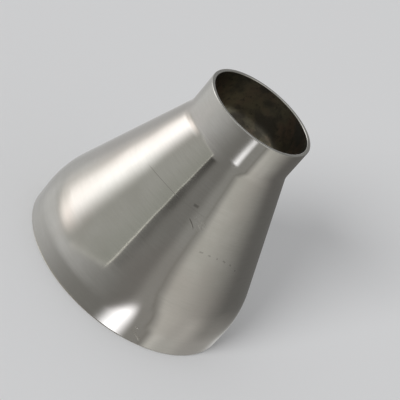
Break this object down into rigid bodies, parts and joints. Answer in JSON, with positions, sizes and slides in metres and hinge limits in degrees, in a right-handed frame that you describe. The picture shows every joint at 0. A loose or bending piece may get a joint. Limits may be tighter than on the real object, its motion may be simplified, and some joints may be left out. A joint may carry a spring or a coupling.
{
  "type": "concentric reducer",
  "caption": "Butt-weld concentric reducer: a polished stainless steel shell that tapers from a large tube end to a small tube end on one axis.",
  "frame": {"origin": "centre of the large end face, which is also the base that the part stands on", "axes": "+Z along the common axis of both tube ends, from the large end to the small end; the part is round, so X and Y are free"},
  "size_m": [0.1016, 0.1016, 0.098],
  "materials": {
    "polished_stainless": "outside polished to a soft gloss, inside left dull, end faces machined"
  },
  "bodies": {
    "root": {"reducer_shell": "polished_stainless"}
  },
  "joints": []
}
